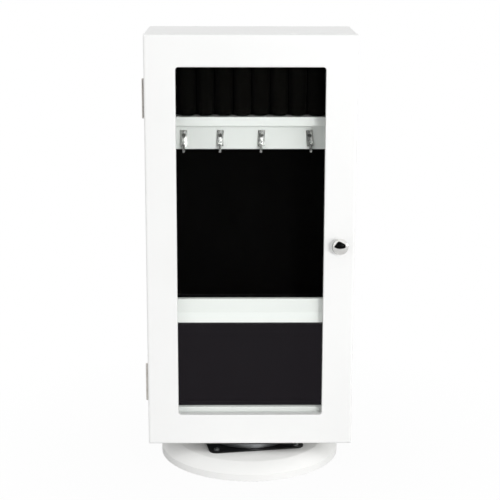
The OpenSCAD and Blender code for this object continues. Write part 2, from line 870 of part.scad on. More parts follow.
// Catch: a magnet in the edge of the right side and a steel plate screwed to the door.
module catch_magnet() {
    color("#77777a") translate([edge_mid_x, front_y + magnet_len - magnet_proud, mid_z])
        rotate([90, 0, 0]) cylinder(d = magnet_d, h = magnet_len);
}

module strike_plate() {
    color(steel) translate([edge_mid_x, door_back_y, mid_z]) rotate([-90, 0, 0]) difference() {
        cylinder(d = strike_d, h = leaf_t);
        cylinder(d1 = small_screw_d + 2 * pilot_gap, d2 = leaf_screw_head + 2 * pilot_gap, h = leaf_t);
    }
}

module strike_screw() {
    color(steel) translate([edge_mid_x, door_back_y, mid_z]) rotate([-90, 0, 0])
        flat_screw(small_screw_d, leaf_screw_head, leaf_t, small_screw_len);
}

module door_bumpers() {
    color("#3a3a3c") for (z = [door_z + bumper_inset, box_top - bumper_inset])
        translate([edge_mid_x, door_back_y, z]) rotate([-90, 0, 0])
            cylinder(d = bumper_d, h = door_gap - bumper_gap);
}

base_felt();
base_disc();
bearing_lower_plate();
lower_plate_screws();
bearing_balls();
bearing_upper_plate();
bearing_ring();
upper_plate_screws();
bottom_panel();
left_side();
right_side();
top_panel();
back_board();
panel_dowels();
ring_shelf();
hook_rail();
necklace_hooks();
hook_screws();
tray_shelf();
tray_lip();
bottom_lip();
roll_board();
ring_rolls();
necklace_lining();
lower_lining();
tray_pad();
bottom_pad();
upper_hinge_box_leaf();
lower_hinge_box_leaf();
hinge_pins();
box_leaf_screws();
catch_magnet();
door_board();
glass_pane();
glass_beads();
upper_hinge_door_leaf();
lower_hinge_door_leaf();
door_leaf_screws();
knob();
knob_screw();
strike_plate();
strike_screw();
door_bumpers();
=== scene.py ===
"""Looks of the counter-top jewelry cabinet: materials, soft linings, small hardware, light and camera."""

import math

import bmesh
import bpy
from mathutils import Matrix, Vector, noise


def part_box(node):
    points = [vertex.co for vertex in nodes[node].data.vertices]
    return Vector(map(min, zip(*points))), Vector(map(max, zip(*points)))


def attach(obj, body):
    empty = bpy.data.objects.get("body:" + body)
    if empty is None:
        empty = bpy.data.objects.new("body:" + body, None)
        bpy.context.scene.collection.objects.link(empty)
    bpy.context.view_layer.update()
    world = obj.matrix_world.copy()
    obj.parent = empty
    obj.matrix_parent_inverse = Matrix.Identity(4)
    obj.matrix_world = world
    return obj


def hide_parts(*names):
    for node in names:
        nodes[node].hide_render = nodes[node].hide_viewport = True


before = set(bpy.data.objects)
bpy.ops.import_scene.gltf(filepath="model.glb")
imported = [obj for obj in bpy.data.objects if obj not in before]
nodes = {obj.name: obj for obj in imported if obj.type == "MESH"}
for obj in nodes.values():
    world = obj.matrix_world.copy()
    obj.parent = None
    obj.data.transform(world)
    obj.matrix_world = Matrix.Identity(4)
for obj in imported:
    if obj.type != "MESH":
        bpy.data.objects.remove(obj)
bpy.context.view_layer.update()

MM = 0.001
# Points nearer than this to a plane or rim count as on it
CLOSE = 0.1 * MM
# Turns a primitive's upper side to the front
UPRIGHT = (math.radians(90), 0, 0)


# Camera: the photograph's view, from above and a little to the left.
# Its place is in metres, before the yaw turns it about the Z axis. Turns are in degrees, the lens is in mm.
CAMERA_AT = (0.00014, -1.4041, 0.5586)
CAMERA_PITCH = 12.735
CAMERA_YAW = 0.641
CAMERA_ROLL = 0.112
CAMERA_LENS = 99.4
CAMERA_SHIFT = -0.04


def make_camera():
    data = bpy.data.cameras.new("camera")
    data.sensor_width = 36
    data.lens = CAMERA_LENS
    data.shift_y = CAMERA_SHIFT
    camera = bpy.data.objects.new("camera", data)
    bpy.context.scene.collection.objects.link(camera)
    camera.matrix_world = (
        Matrix.Rotation(-math.radians(CAMERA_YAW), 4, "Z")
        @ Matrix.Translation(CAMERA_AT)
        @ Matrix.Rotation(math.radians(90 - CAMERA_PITCH), 4, "X")
        @ Matrix.Rotation(math.radians(CAMERA_ROLL), 4, "Z")
    )
    bpy.context.scene.camera = camera


make_camera()


# Shader groups that several finishes share
def socket(group, name, kind, in_out, default=None):
    made = group.interface.new_socket(name=name, in_out=in_out, socket_type=kind)
    if default is not None:
        made.default_value = default


class Graph:
    """A node tree with short calls for adding and joining nodes."""

    def __init__(self, tree):
        self.tree = tree

    def add(self, kind, **settings):
        node = self.tree.nodes.new(kind)
        for key, value in settings.items():
            setattr(node, key, value)
        return node

    def join(self, source, target):
        self.tree.links.new(source, target)

    def noise(self, vector, scale, detail=2.0, roughness=0.5):
        node = self.add("ShaderNodeTexNoise")
        node.inputs["Detail"].default_value = detail
        node.inputs["Roughness"].default_value = roughness
        self.join(vector, node.inputs["Vector"])
        self.feed(scale, node.inputs["Scale"])
        return node.outputs["Fac"]

    def math(self, operation, first, second):
        node = self.add("ShaderNodeMath", operation=operation)
        self.feed(first, node.inputs[0])
        self.feed(second, node.inputs[1])
        return node.outputs[0]

    def remap(self, value, low, high, to_low=0.0, to_high=1.0):
        node = self.add("ShaderNodeMapRange")
        limits = {"From Min": low, "From Max": high, "To Min": to_low, "To Max": to_high}
        self.feed(value, node.inputs["Value"])
        for name, number in limits.items():
            self.feed(number, node.inputs[name])
        return node.outputs["Result"]

    def blend(self, mask, first, second):
        node = self.add("ShaderNodeMix", data_type="RGBA")
        self.feed(mask, node.inputs["Factor"])
        self.feed(first, node.inputs[6])
        self.feed(second, node.inputs[7])
        return node.outputs[2]

    def stretch(self, vector, scale):
        node = self.add("ShaderNodeMapping")
        node.inputs["Scale"].default_value = scale
        self.join(vector, node.inputs["Vector"])
        return node.outputs["Vector"]

    def feed(self, value, target):
        if isinstance(value, bpy.types.NodeSocket):
            self.join(value, target)
        elif isinstance(value, tuple) and len(value) == 3:
            target.default_value = (*value, 1.0)
        else:
            target.default_value = value


def make_group(name, inputs, outputs):
    group = bpy.data.node_groups.new(name, "ShaderNodeTree")
    for label, kind, default in inputs:
        socket(group, label, kind, "INPUT", default)
    for label, kind in outputs:
        socket(group, label, kind, "OUTPUT")
    graph = Graph(group)
    return group, graph, graph.add("NodeGroupInput").outputs, graph.add("NodeGroupOutput").inputs


def sprayed_skin():
    """Sprayed lacquer: a low orange peel, and broad patches a touch deeper in tone."""
    group, g, given, out = make_group(
        "sprayed_skin",
        [("Vector", "NodeSocketVector", None), ("Peel", "NodeSocketFloat", 420.0)],
        [("Height", "NodeSocketFloat"), ("Patch", "NodeSocketFloat"), ("Gloss", "NodeSocketFloat")],
    )
    peel = g.noise(given["Vector"], given["Peel"], 2.0, 0.45)
    swell = g.noise(given["Vector"], 46.0, 1.0, 0.5)
    g.join(g.math("ADD", g.math("MULTIPLY", peel, 0.55), g.math("MULTIPLY", swell, 0.45)), out["Height"])
    g.join(g.remap(g.noise(given["Vector"], 9.0, 3.0), 0.35, 0.7), out["Patch"])
    g.join(g.remap(g.noise(given["Vector"], 30.0, 4.0, 0.6), 0.3, 0.7), out["Gloss"])
    return group


def pile():
    """Velvet pile: fine upright fibres, a mask of soft brushed lanes for painted sheen, and a mask of small
    specks for painted glints.
    """
    group, g, given, out = make_group(
        "pile",
        [("Vector", "NodeSocketVector", None), ("Fibre", "NodeSocketFloat", 2600.0)],
        [("Height", "NodeSocketFloat"), ("Lanes", "NodeSocketFloat"), ("Specks", "NodeSocketFloat")],
    )
    fibre = g.noise(given["Vector"], given["Fibre"], 2.0, 0.7)
    tuft = g.noise(given["Vector"], g.math("MULTIPLY", given["Fibre"], 0.22), 2.0, 0.6)
    g.join(g.math("ADD", g.math("MULTIPLY", fibre, 0.6), g.math("MULTIPLY", tuft, 0.4)), out["Height"])
    # Mask for painted sheen: soft lanes where the pile is brushed
    sheen_lanes = g.noise(g.stretch(given["Vector"], (1.0, 1.0, 0.35)), 70.0, 3.0, 0.55)
    g.join(g.remap(sheen_lanes, 0.35, 0.68), out["Lanes"])
    # Mask for painted glints: small bright specks on the pile
    glint_specks = g.noise(given["Vector"], 900.0, 1.0, 0.4)
    g.join(g.remap(glint_specks, 0.74, 0.8), out["Specks"])
    return group


def plated_skin():
    """Plated metal: long fine polishing lines and a faint cloudiness."""
    group, g, given, out = make_group(
        "plated_skin",
        [
            ("Vector", "NodeSocketVector", None),
            ("Along", "NodeSocketVector", (300.0, 300.0, 6000.0)),
        ],
        [("Height", "NodeSocketFloat"), ("Cloud", "NodeSocketFloat")],
    )
    lines = g.add("ShaderNodeVectorMath", operation="MULTIPLY")
    g.join(given["Vector"], lines.inputs[0])
    g.join(given["Along"], lines.inputs[1])
    g.join(g.noise(lines.outputs[0], 1.0, 2.0, 0.6), out["Height"])
    g.join(g.remap(g.noise(given["Vector"], 160.0, 3.0, 0.6), 0.3, 0.7), out["Cloud"])
    return group


SPRAYED = sprayed_skin()
PILE = pile()
PLATED = plated_skin()


class Finish(Graph):
    """A material with one Principled shader, which reads its object's own coordinates."""

    def __init__(self, name, color, roughness, metallic=0.0, **constants):
        self.material = bpy.data.materials.new(name)
        self.material.use_nodes = True
        super().__init__(self.material.node_tree)
        self.shader = self.tree.nodes["Principled BSDF"]
        self.place = self.add("ShaderNodeTexCoord").outputs["Object"]
        self.put("Base Color", color)
        self.put("Roughness", roughness)
        self.put("Metallic", metallic)
        for key, value in constants.items():
            self.put(key.replace("_", " ").title().replace("Ior", "IOR"), value)

    def put(self, name, value):
        self.feed(value, self.shader.inputs[name])

    def skin(self, group, **given):
        node = self.add("ShaderNodeGroup", node_tree=group)
        self.join(self.place, node.inputs["Vector"])
        for key, value in given.items():
            node.inputs[key].default_value = value
        return node.outputs

    def bump(self, height, depth):
        node = self.add("ShaderNodeBump")
        node.inputs["Distance"].default_value = depth
        self.join(height, node.inputs["Height"])
        self.join(node.outputs["Normal"], self.shader.inputs["Normal"])


# How deep each finish's relief is
PAINT_PEEL = 0.06 * MM
VELVET_PILE = 0.12 * MM
POLISHING_LINES = 0.01 * MM
ENAMEL_PEEL = 0.05 * MM
BEECH_PORES = 0.05 * MM
RUBBER_GRAIN = 0.04 * MM


def white_paint(name, light, deep, roughness):
    """Satin white lacquer on fibreboard."""
    f = Finish(name, light, roughness, coat_weight=0.12, coat_roughness=0.22)
    skin = f.skin(SPRAYED)
    f.put("Base Color", f.blend(skin["Patch"], light, deep))
    f.put("Roughness", f.remap(skin["Gloss"], 0.0, 1.0, roughness - 0.04, roughness + 0.05))
    f.bump(skin["Height"], PAINT_PEEL)
    return f.material


def velvet(name, dark, lit, sheen, fibre=2600.0):
    """Black velvet with a short pile that catches light at grazing angles; its brushed lanes are painted
    sheen and its specks painted glints, both lighter copies of its tone.
    """
    f = Finish(name, dark, 0.95, sheen_weight=sheen, sheen_roughness=0.3, specular_ior_level=0.05)
    skin = f.skin(PILE, Fibre=fibre)
    # Painted sheen: the lanes blend from the dark tone to the lit one; painted glints: specks at six times
    # the lit tone
    sheen_lanes = f.blend(skin["Lanes"], dark, lit)
    f.put("Base Color", f.blend(skin["Specks"], sheen_lanes, tuple(6 * c for c in lit)))
    f.bump(skin["Height"], VELVET_PILE)
    return f.material


def plated(name, bright, dull, roughness, along, cloud=0.08):
    """Plated metal, polished along one direction."""
    f = Finish(name, bright, roughness, metallic=1.0)
    skin = f.skin(PLATED, Along=along)
    f.put("Base Color", f.blend(skin["Cloud"], bright, dull))
    f.put("Roughness", f.remap(skin["Cloud"], 0.0, 1.0, roughness, roughness + cloud))
    f.bump(skin["Height"], POLISHING_LINES)
    return f.material


def black_enamel():
    """Baked black enamel on stamped steel, with a slight peel."""
    f = Finish("black_enamel", (0.006, 0.006, 0.007), 0.32, specular_ior_level=0.3)
    skin = f.skin(SPRAYED, Peel=900.0)
    f.put("Base Color", f.blend(skin["Patch"], (0.005, 0.005, 0.006), (0.009, 0.009, 0.01)))
    f.put("Roughness", f.remap(skin["Gloss"], 0.0, 1.0, 0.26, 0.4))
    f.bump(skin["Height"], ENAMEL_PEEL)
    return f.material


def beech():
    """Bare beech with fine pores along the dowel."""
    f = Finish("bare_beech", (0.62, 0.44, 0.26), 0.6)
    grain = f.noise(f.stretch(f.place, (700.0, 700.0, 40.0)), 1.0, 4.0, 0.6)
    f.put("Base Color", f.blend(f.remap(grain, 0.3, 0.7), (0.66, 0.48, 0.3), (0.5, 0.33, 0.18)))
    f.bump(grain, BEECH_PORES)
    return f.material


def rubber():
    """Soft moulded rubber with a matt grain."""
    f = Finish("soft_rubber", (0.05, 0.05, 0.052), 0.7)
    skin = f.skin(SPRAYED, Peel=2200.0)
    f.put("Base Color", f.blend(skin["Patch"], (0.045, 0.045, 0.047), (0.07, 0.07, 0.072)))
    f.bump(skin["Height"], RUBBER_GRAIN)
    return f.material


def clear_glass():
    """Clear float glass with a faint haze, which lets the light of the room through to the shelves."""
    # Its roughness stays zero all over, because the reflection card, which glows to paint a charcoal
    # reflection into the glass, shows itself to perfectly sharp mirrors alone
    tint = (0.985, 0.997, 0.988)
    f = Finish("float_glass", tint, 0.0, transmission_weight=1.0, ior=1.45, specular_ior_level=0.5)
    haze = f.remap(f.noise(f.place, 14.0, 4.0, 0.6), 0.45, 0.8)
    f.put("Base Color", f.blend(haze, tint, (0.965, 0.98, 0.97)))
    path = f.add("ShaderNodeLightPath").outputs
    passing = f.math("MAXIMUM", path["Is Shadow Ray"], path["Is Diffuse Ray"])
    clear = f.add("ShaderNodeBsdfTransparent")
    f.feed((0.99, 1.0, 0.992), clear.inputs["Color"])
    mix = f.add("ShaderNodeMixShader")
    f.join(passing, mix.inputs["Fac"])
    f.join(f.shader.outputs["BSDF"], mix.inputs[1])
    f.join(clear.outputs["BSDF"], mix.inputs[2])
    f.join(mix.outputs["Shader"], f.tree.nodes["Material Output"].inputs["Surface"])
    return f.material


PAINT = white_paint("satin_paint", (0.905, 0.907, 0.9), (0.885, 0.888, 0.88), 0.42)
BASE_PAINT = white_paint("base_paint", (0.9, 0.9, 0.888), (0.885, 0.885, 0.87), 0.5)
# Painted light: the parts inside get a lighter copy of the satin paint, which makes up for the shade inside
# the cabinet and the light lost in the glass
LIFTED_INNER_PAINT = white_paint("lifted_inner_paint", (0.918, 0.928, 0.915), (0.903, 0.914, 0.899), 0.46)
ROLL_VELVET = velvet("roll_velvet", (0.0018, 0.0016, 0.0013), (0.0028, 0.0025, 0.002), 0.006)
LINING_VELVET = velvet("lining_velvet", (0.0014, 0.0012, 0.0012), (0.002, 0.0018, 0.0018), 0.004)
PAD_VELVET = velvet("pad_velvet", (0.0034, 0.0032, 0.0034), (0.0052, 0.0048, 0.0052), 0.02)
FELT = velvet("base_felt_cloth", (0.02, 0.02, 0.021), (0.034, 0.034, 0.035), 0.3, fibre=1500.0)
CHROME = plated(
    "chrome", (0.86, 0.855, 0.835), (0.78, 0.77, 0.75), 0.025, (200.0, 200.0, 2000.0), cloud=0.015
)
NICKEL = plated("nickel", (0.82, 0.8, 0.76), (0.7, 0.67, 0.62), 0.34, (500.0, 500.0, 9000.0))
ZINC = plated("zinc", (0.66, 0.67, 0.68), (0.55, 0.56, 0.58), 0.3, (900.0, 900.0, 5000.0))
MAGNET = plated("magnet_nickel", (0.5, 0.5, 0.51), (0.4, 0.4, 0.41), 0.22, (2500.0, 600.0, 2500.0))
HOOK_STEEL = plated("hook_steel", (0.84, 0.84, 0.83), (0.72, 0.72, 0.7), 0.18, (600.0, 600.0, 3000.0))
RING_STEEL = plated("ring_steel", (0.3, 0.31, 0.32), (0.22, 0.23, 0.24), 0.3, (400.0, 400.0, 2000.0))
SCREW_STEEL = plated("screw_steel", (0.17, 0.17, 0.165), (0.12, 0.12, 0.115), 0.3, (900.0, 900.0, 900.0))
ENAMEL = black_enamel()
BEECH = beech()
RUBBER = rubber()
GLASS = clear_glass()

BOX_BOARDS = ("bottom_panel", "left_side", "right_side", "top_panel", "back_board")
HINGE_LEAVES = [f"{end}_hinge_{side}_leaf" for end in ("upper", "lower") for side in ("box", "door")]
FINISHES = (
    (PAINT, (*BOX_BOARDS, "door_board", "glass_beads")),
    (BASE_PAINT, ("base_disc",)),
    (LIFTED_INNER_PAINT, ("ring_shelf", "hook_rail", "tray_shelf", "tray_lip", "bottom_lip")),
    (FELT, ("base_felt",)),
    (ROLL_VELVET, ("roll_board", "ring_rolls")),
    (LINING_VELVET, ("necklace_lining", "lower_lining")),
    (PAD_VELVET, ("tray_pad", "bottom_pad")),
    (GLASS, ("glass_pane",)),
    (CHROME, ("necklace_hooks", "hook_screws", "knob", "bearing_balls")),
    (ENAMEL, ("bearing_lower_plate", "bearing_upper_plate")),
    (RING_STEEL, ("bearing_ring",)),
    (ZINC, ("lower_plate_screws", "upper_plate_screws", "knob_screw", "strike_plate", "strike_screw")),
    (NICKEL, (*HINGE_LEAVES, "hinge_pins", "box_leaf_screws", "door_leaf_screws")),
    (BEECH, ("panel_dowels",)),
    (MAGNET, ("catch_magnet",)),
    (RUBBER, ("door_bumpers",)),
)


def dress_nodes():
    for finish, names in FINISHES:
        for name in names:
            for slot in nodes[name].material_slots:
                slot.material = finish


dress_nodes()


# Tools for making pieces
def start(adder, **settings):
    """Adds a primitive alone in the selection, and returns it."""
    bpy.ops.object.select_all(action="DESELECT")
    adder(**settings)
    piece = bpy.context.object
    bpy.ops.object.transform_apply(location=True, rotation=True, scale=True)
    return piece


def take(piece):
    """Makes a piece the only one selected."""
    bpy.ops.object.select_all(action="DESELECT")
    piece.select_set(True)
    bpy.context.view_layer.objects.active = piece


def edit(piece):
    take(piece)
    bpy.ops.object.mode_set(mode="EDIT")


def leave():
    bpy.ops.object.mode_set(mode="OBJECT")


def choose(piece, kind, test):
    """In edit mode, selects the vertices, edges or faces whose middle passes the test."""
    bpy.ops.mesh.select_mode(type=kind)
    bpy.ops.mesh.select_all(action="DESELECT")
    shape = bmesh.from_edit_mesh(piece.data)
    if kind == "FACE":
        for face in shape.faces:
            face.select_set(test(face.calc_center_median(), face.normal))
    elif kind == "EDGE":
        for rim in shape.edges:
            first, last = (v.co for v in rim.verts)
            rim.select_set(test((first + last) / 2, last - first))
    else:
        for corner in shape.verts:
            corner.select_set(test(corner.co, corner.normal))
    shape.select_flush_mode()
    bmesh.update_edit_mesh(piece.data)


def apply(piece, kind, **settings):
    """Adds a modifier with its settings and applies it."""
    take(piece)
    modifier = piece.modifiers.new(kind.lower(), kind)
    for key, value in settings.items():
        setattr(modifier, key, value)
    bpy.ops.object.modifier_apply(modifier=modifier.name)


def copy_of(pattern):
    """Copies a pattern with its mesh."""
    piece = pattern.copy()
    piece.data = pattern.data.copy()
    bpy.context.scene.collection.objects.link(piece)
    return piece


def outward(piece):
    """Merges doubles and turns all faces outwards."""
    edit(piece)
    bpy.ops.mesh.select_all(action="SELECT")
    bpy.ops.mesh.remove_doubles(threshold=1e-6)
    bpy.ops.mesh.normals_make_consistent(inside=False)
    leave()


def place(piece, name, body, finish, replaces=(), angle=40):
    """Names, finishes and hangs a piece on its body."""
    piece.name = name
    piece.data.name = name
    piece.data.materials.clear()
    piece.data.materials.append(finish)
    take(piece)
    bpy.ops.object.shade_smooth_by_angle(angle=math.radians(angle))
    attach(piece, body)
    if replaces:
        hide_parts(*replaces)


def carry(piece, new_place):
    """Puts each point of a piece where new_place(point) says."""
    for corner in piece.data.vertices:
        corner.co = new_place(corner.co)


def shape_by(piece, move):
    """Moves each point of a piece by what move(point, normal) gives."""
    normals = [v.normal.copy() for v in piece.data.vertices]
    for corner, normal in zip(piece.data.vertices, normals):
        corner.co += move(corner.co, normal)


# Cloth simulation, at ten times the size, because small cloth doesn't swell well
SIM_SCALE = 10.0
SIM_FRAMES = 20
CLOTH_MASS = 0.15


def puff(piece, glued, pressure, cap):
    """Blows a closed soft piece up, with its glued points held and no point moved past the cap."""
    before = [v.co.copy() for v in piece.data.vertices]
    for corner in piece.data.vertices:
        corner.co *= SIM_SCALE
    group = piece.vertex_groups.new(name="glued")
    group.add([i for i, point in enumerate(before) if glued(point)], 1.0, "REPLACE")
    cloth = piece.modifiers.new("cloth", "CLOTH")
    cloth.settings.use_pressure = True
    cloth.settings.uniform_pressure_force = pressure
    cloth.settings.mass = CLOTH_MASS
    cloth.settings.vertex_group_mass = "glued"
    cloth.settings.effector_weights.gravity = 0.0
    for frame_number in range(1, SIM_FRAMES + 1):
        bpy.context.scene.frame_set(frame_number)
    swollen = piece.evaluated_get(bpy.context.evaluated_depsgraph_get()).data
    after = [v.co / SIM_SCALE for v in swollen.vertices]
    piece.modifiers.remove(cloth)
    piece.vertex_groups.remove(group)
    bpy.context.scene.frame_set(1)
    for corner, old, new in zip(piece.data.vertices, before, after):
        step = new - old
        if step.length > cap:
            step = step.normalized() * cap
        corner.co = old + step


def corners(node):
    """The lowest and the highest corner of a node."""
    low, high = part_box(node)
    return Vector(low), Vector(high)


def middle(node):
    """The centre and the size of a node."""
    low, high = corners(node)
    return (low + high) / 2, high - low


# Ring rolls: foam under velvet, its ends folded in and glued
ROLL_COUNT = 10
ROLL_GAP = 0.15 * MM
ROLL_SLACK = 0.35 * MM
ROLL_END = 2.4 * MM
ROLL_BACK_GAP = 0.1 * MM
ROLL_VOXEL = 1.9 * MM
ROLL_GLUED = 1.2 * MM
ROLL_PRESSURE = 5.0
PLEATS = 11
PLEAT_DEPTH = 0.45 * MM
PLEAT_REACH = 5 * MM
DENT_DEPTH = 0.22 * MM
SWELL_DEPTH = 0.16 * MM


def roll_centre(number):
    """The place of a roll's middle in x and y, and its radius."""
    low, high = corners("ring_rolls")
    across = (high.x - low.x + ROLL_GAP) / ROLL_COUNT - ROLL_GAP
    return low.x + across / 2 + number * (across + ROLL_GAP), low.y + across / 2, across / 2


def foam_roll():
    """One roll on the Z axis through the origin of its own place."""
    low, high = corners("ring_rolls")
    _, y, radius = roll_centre(0)
    centre_z, half_length = (low.z + high.z) / 2, (high.z - low.z) / 2
    inner = radius - ROLL_SLACK
    roll = start(
        bpy.ops.mesh.primitive_cylinder_add,
        vertices=32,
        radius=inner,
        depth=high.z - low.z - 2 * ROLL_SLACK,
        location=(0, 0, centre_z),
    )
    edit(roll)
    bpy.ops.mesh.select_all(action="SELECT")
    flat = high.y - y - ROLL_BACK_GAP
    bpy.ops.mesh.bisect(plane_co=(0, flat, 0), plane_no=(0, 1, 0), use_fill=True, clear_outer=True)
    choose(roll, "EDGE", lambda at, along: abs(at.z - centre_z) > half_length - 1 * MM)
    bpy.ops.mesh.bevel(offset=ROLL_END, segments=4, profile=0.5)
    leave()
    apply(roll, "REMESH", mode="VOXEL", voxel_size=ROLL_VOXEL)
    puff(roll, lambda at: at.y > flat - ROLL_GLUED, ROLL_PRESSURE, ROLL_SLACK)
    apply(roll, "SUBSURF", levels=1, render_levels=1)
    return roll


def pleat(roll, seed):
    """Draws the cloth into pleats at both ends, and dents it a little, each roll in its own way."""
    low, high = corners("ring_rolls")
    turn = 6.28 * noise.noise(Vector((seed * 3.7, 0.4, 0.9)))
    offset = Vector((seed * 13.1, seed * 5.3, 2.0))

    def move(at, normal):
        end = min(at.z - low.z, high.z - at.z)
        near = max(0.0, 1.0 - end / PLEAT_REACH)
        fold = 0.5 + 0.5 * math.cos(PLEATS * math.atan2(at.y, at.x) + turn)
        depth = PLEAT_DEPTH * near * near * fold
        dent = DENT_DEPTH * (0.5 + noise.noise(at * 55 + offset))
        swell = SWELL_DEPTH * noise.noise(Vector((at.x * 40, at.y * 40, at.z * 22)) + offset)
        return -normal * (depth + dent - swell)

    shape_by(roll, move)


def make_ring_rolls():
    pattern = foam_roll()
    for number in range(ROLL_COUNT):
        roll = copy_of(pattern)
        pleat(roll, number + 1)
        x, y, _ = roll_centre(number)
        carry(roll, lambda at: at + Vector((x, y, 0)))
        place(
            roll,
            f"ring_roll_{number + 1:02d}",
            "cabinet",
            ROLL_VELVET,
            replaces=["ring_rolls"],
            angle=80,
        )
    bpy.data.objects.remove(pattern)


# Velvet boards: wadding under velvet, crowned on the side that shows
HEM = 0.7 * MM
# Share of the thickness that the board has before the wadding swells it
BOARD_RISE = 0.85
BOARD_PRESSURE = 3.0
BOARD_SWELL = 0.3 * MM


def fit_flat(board, centre, size, out):
    """Stretches a board over the flat space of its node, which the rounding of its edges made it leave."""
    for axis in range(3):
        if abs(out[axis]) > 0.5:
            continue
        reach = max(abs(v.co[axis] - centre[axis]) for v in board.data.vertices)
        for corner in board.data.vertices:
            corner.co[axis] = centre[axis] + (corner.co[axis] - centre[axis]) * size[axis] / 2 / reach


def velvet_board(node, face, cells, crown, finish):
    """A board in a node's place whose face, "front", "back" or "top", is crowned by its wadding."""
    centre, size = middle(node)
    if face == "top":
        flat, thick = Vector((size.x, size.y, 0)), Vector((0, 0, size.z))
        turn = (0, 0, 0)
    else:
        flat, thick = Vector((size.x, size.z, 0)), Vector((0, -size.y if face == "front" else size.y, 0))
        turn = UPRIGHT
    back = centre - thick / 2
    board = start(
        bpy.ops.mesh.primitive_grid_add,
        x_subdivisions=cells[0],
        y_subdivisions=cells[1],
        size=1,
        location=back,
        rotation=turn,
    )
    edit(board)
    bpy.ops.mesh.select_all(action="SELECT")
    stretch = (flat.x, flat.y, 1) if face == "top" else (flat.x, 1, flat.y)
    bpy.ops.transform.resize(value=stretch, center_override=back)
    bpy.ops.mesh.extrude_region_move(TRANSFORM_OT_translate={"value": thick * BOARD_RISE})
    bpy.ops.mesh.inset(thickness=HEM)
    leave()
    outward(board)
    out = thick.normalized()
    puff(board, lambda at: (at - back).dot(out) < CLOSE, BOARD_PRESSURE, crown)
    apply(board, "SUBSURF", levels=1, render_levels=1)
    fit_flat(board, centre, size, out)
    shape_by(
        board,
        lambda at, normal: out * max(0.0, normal.dot(out)) * BOARD_SWELL * noise.noise(at * 28 + centre * 9),
    )
    place(board, node + "_velvet", "cabinet", finish, replaces=[node], angle=70)


def make_velvet_boards():
    velvet_board("roll_board", "back", (32, 12), 0.3 * MM, ROLL_VELVET)
    velvet_board("necklace_lining", "front", (40, 40), 0.7 * MM, LINING_VELVET)
    velvet_board("lower_lining", "front", (40, 24), 0.7 * MM, LINING_VELVET)
    velvet_board("tray_pad", "top", (44, 20), 1.0 * MM, PAD_VELVET)
    velvet_board("bottom_pad", "top", (44, 20), 1.0 * MM, PAD_VELVET)


# Felt under the base: a die-cut disc with a soft edge
FELT_RING = 2.5 * MM
FELT_EDGE = 0.25 * MM
FELT_FRAY = 0.06 * MM


def make_felt():
    centre, size = middle("base_felt")
    felt = start(
        bpy.ops.mesh.primitive_circle_add,
        vertices=96,
        radius=size.x / 2,
        fill_type="NGON",
        location=(centre.x, centre.y, centre.z - size.z / 2),
    )
    edit(felt)
    bpy.ops.mesh.select_all(action="SELECT")
    bpy.ops.mesh.extrude_region_move(TRANSFORM_OT_translate={"value": (0, 0, size.z)})
    choose(felt, "FACE", lambda at, normal: abs(normal.z) > 0.9)
    bpy.ops.mesh.inset(thickness=FELT_RING)
    bpy.ops.mesh.poke()
    rim = size.x / 2 - 2 * CLOSE
    choose(felt, "EDGE", lambda at, along: at.xy.length > rim and abs(along.z) < CLOSE)
    bpy.ops.mesh.bevel(offset=FELT_EDGE, segments=2)
    leave()
    outward(felt)

    def fray(at, normal):
        return -FELT_FRAY * Vector((normal.x, normal.y, 0)) * (1 + noise.noise(at * 400))

    shape_by(felt, fray)
    place(felt, "felt_disc", "base", FELT, replaces=["base_felt"])


# Necklace hooks: a stamped plate with two holes, its foot drawn out to a bent finger.
# Each has its place across in mm, its tilt in degrees, and how far one edge of its plate leans out, in mm.
HOOKS = ((-68.0, 0.4, -0.2), (-30.5, 1.3, -0.45), (11.6, 1.8, -0.25), (61.2, -4.3, 0.0))
PLATE_W = 7 * MM
PLATE_H = 16.6 * MM
PLATE_T = 1 * MM
PLATE_CORNER = 0.6 * MM
PLATE_COLUMNS = 8
PLATE_DISH = 0.4 * MM
PLATE_BOW = 1.2 * MM
HOLE_R = 1.1 * MM
SCREW_UP = 11.2 * MM
EYE_UP = 4 * MM
HOOK_EDGE = 0.13 * MM
FINGER_T = 0.94 * MM
# The finger's bend and tip, in mm as its route is
BEND_R = 3.1
BEND_STEPS = 12
BEND_UP = -3.2
TIP_UP = 3.4


def finger_route():
    """Depth, height and half width in mm along the finger's strip, from inside the plate to the tip."""
    route = [(-0.5, 2.6, 1.5), (-0.5, 0.9, 1.5), (-0.5, 0.0, 1.45), (-0.5, -1.6, 1.3)]
    for step in range(BEND_STEPS + 1):
        turn = math.pi * step / BEND_STEPS
        depth = BEND_R * (math.cos(turn) - 1) - 0.5
        route.append((depth, BEND_UP - BEND_R * math.sin(turn), 1.2 - 0.2 * math.sin(turn)))
    route += [(-6.75, -1.6, 1.3), (-6.8, TIP_UP - 2.4, 1.5), (-6.95, TIP_UP - 1.3, 1.5)]
    route += [(-7.05, TIP_UP - 0.6, 1.15), (-7.12, TIP_UP - 0.15, 0.7), (-7.15, TIP_UP, 0.3)]
    return route


def bent_finger():
    route = finger_route()
    depth, height, half = route[0]
    finger = start(bpy.ops.mesh.primitive_plane_add, size=2 * MM, rotation=UPRIGHT)
    edit(finger)
    bpy.ops.mesh.select_all(action="SELECT")
    bpy.ops.transform.resize(value=(half, 1, 0.1), center_override=(0, 0, 0))
    bpy.ops.transform.translate(value=(0, depth * MM, (height + 0.1) * MM))
    choose(finger, "EDGE", lambda at, along: at.z < (height + 0.05) * MM and abs(along.x) > CLOSE)
    for before, after in zip(route, route[1:]):
        step = (0, (after[0] - before[0]) * MM, (after[1] - before[1]) * MM)
        bpy.ops.mesh.extrude_edges_move(TRANSFORM_OT_translate={"value": step})
        end = (0, after[0] * MM, after[1] * MM)
        bpy.ops.transform.resize(value=(after[2] / before[2], 1, 1), center_override=end)
    leave()
    apply(finger, "SOLIDIFY", thickness=FINGER_T, offset=0)
    outward(finger)
    return finger


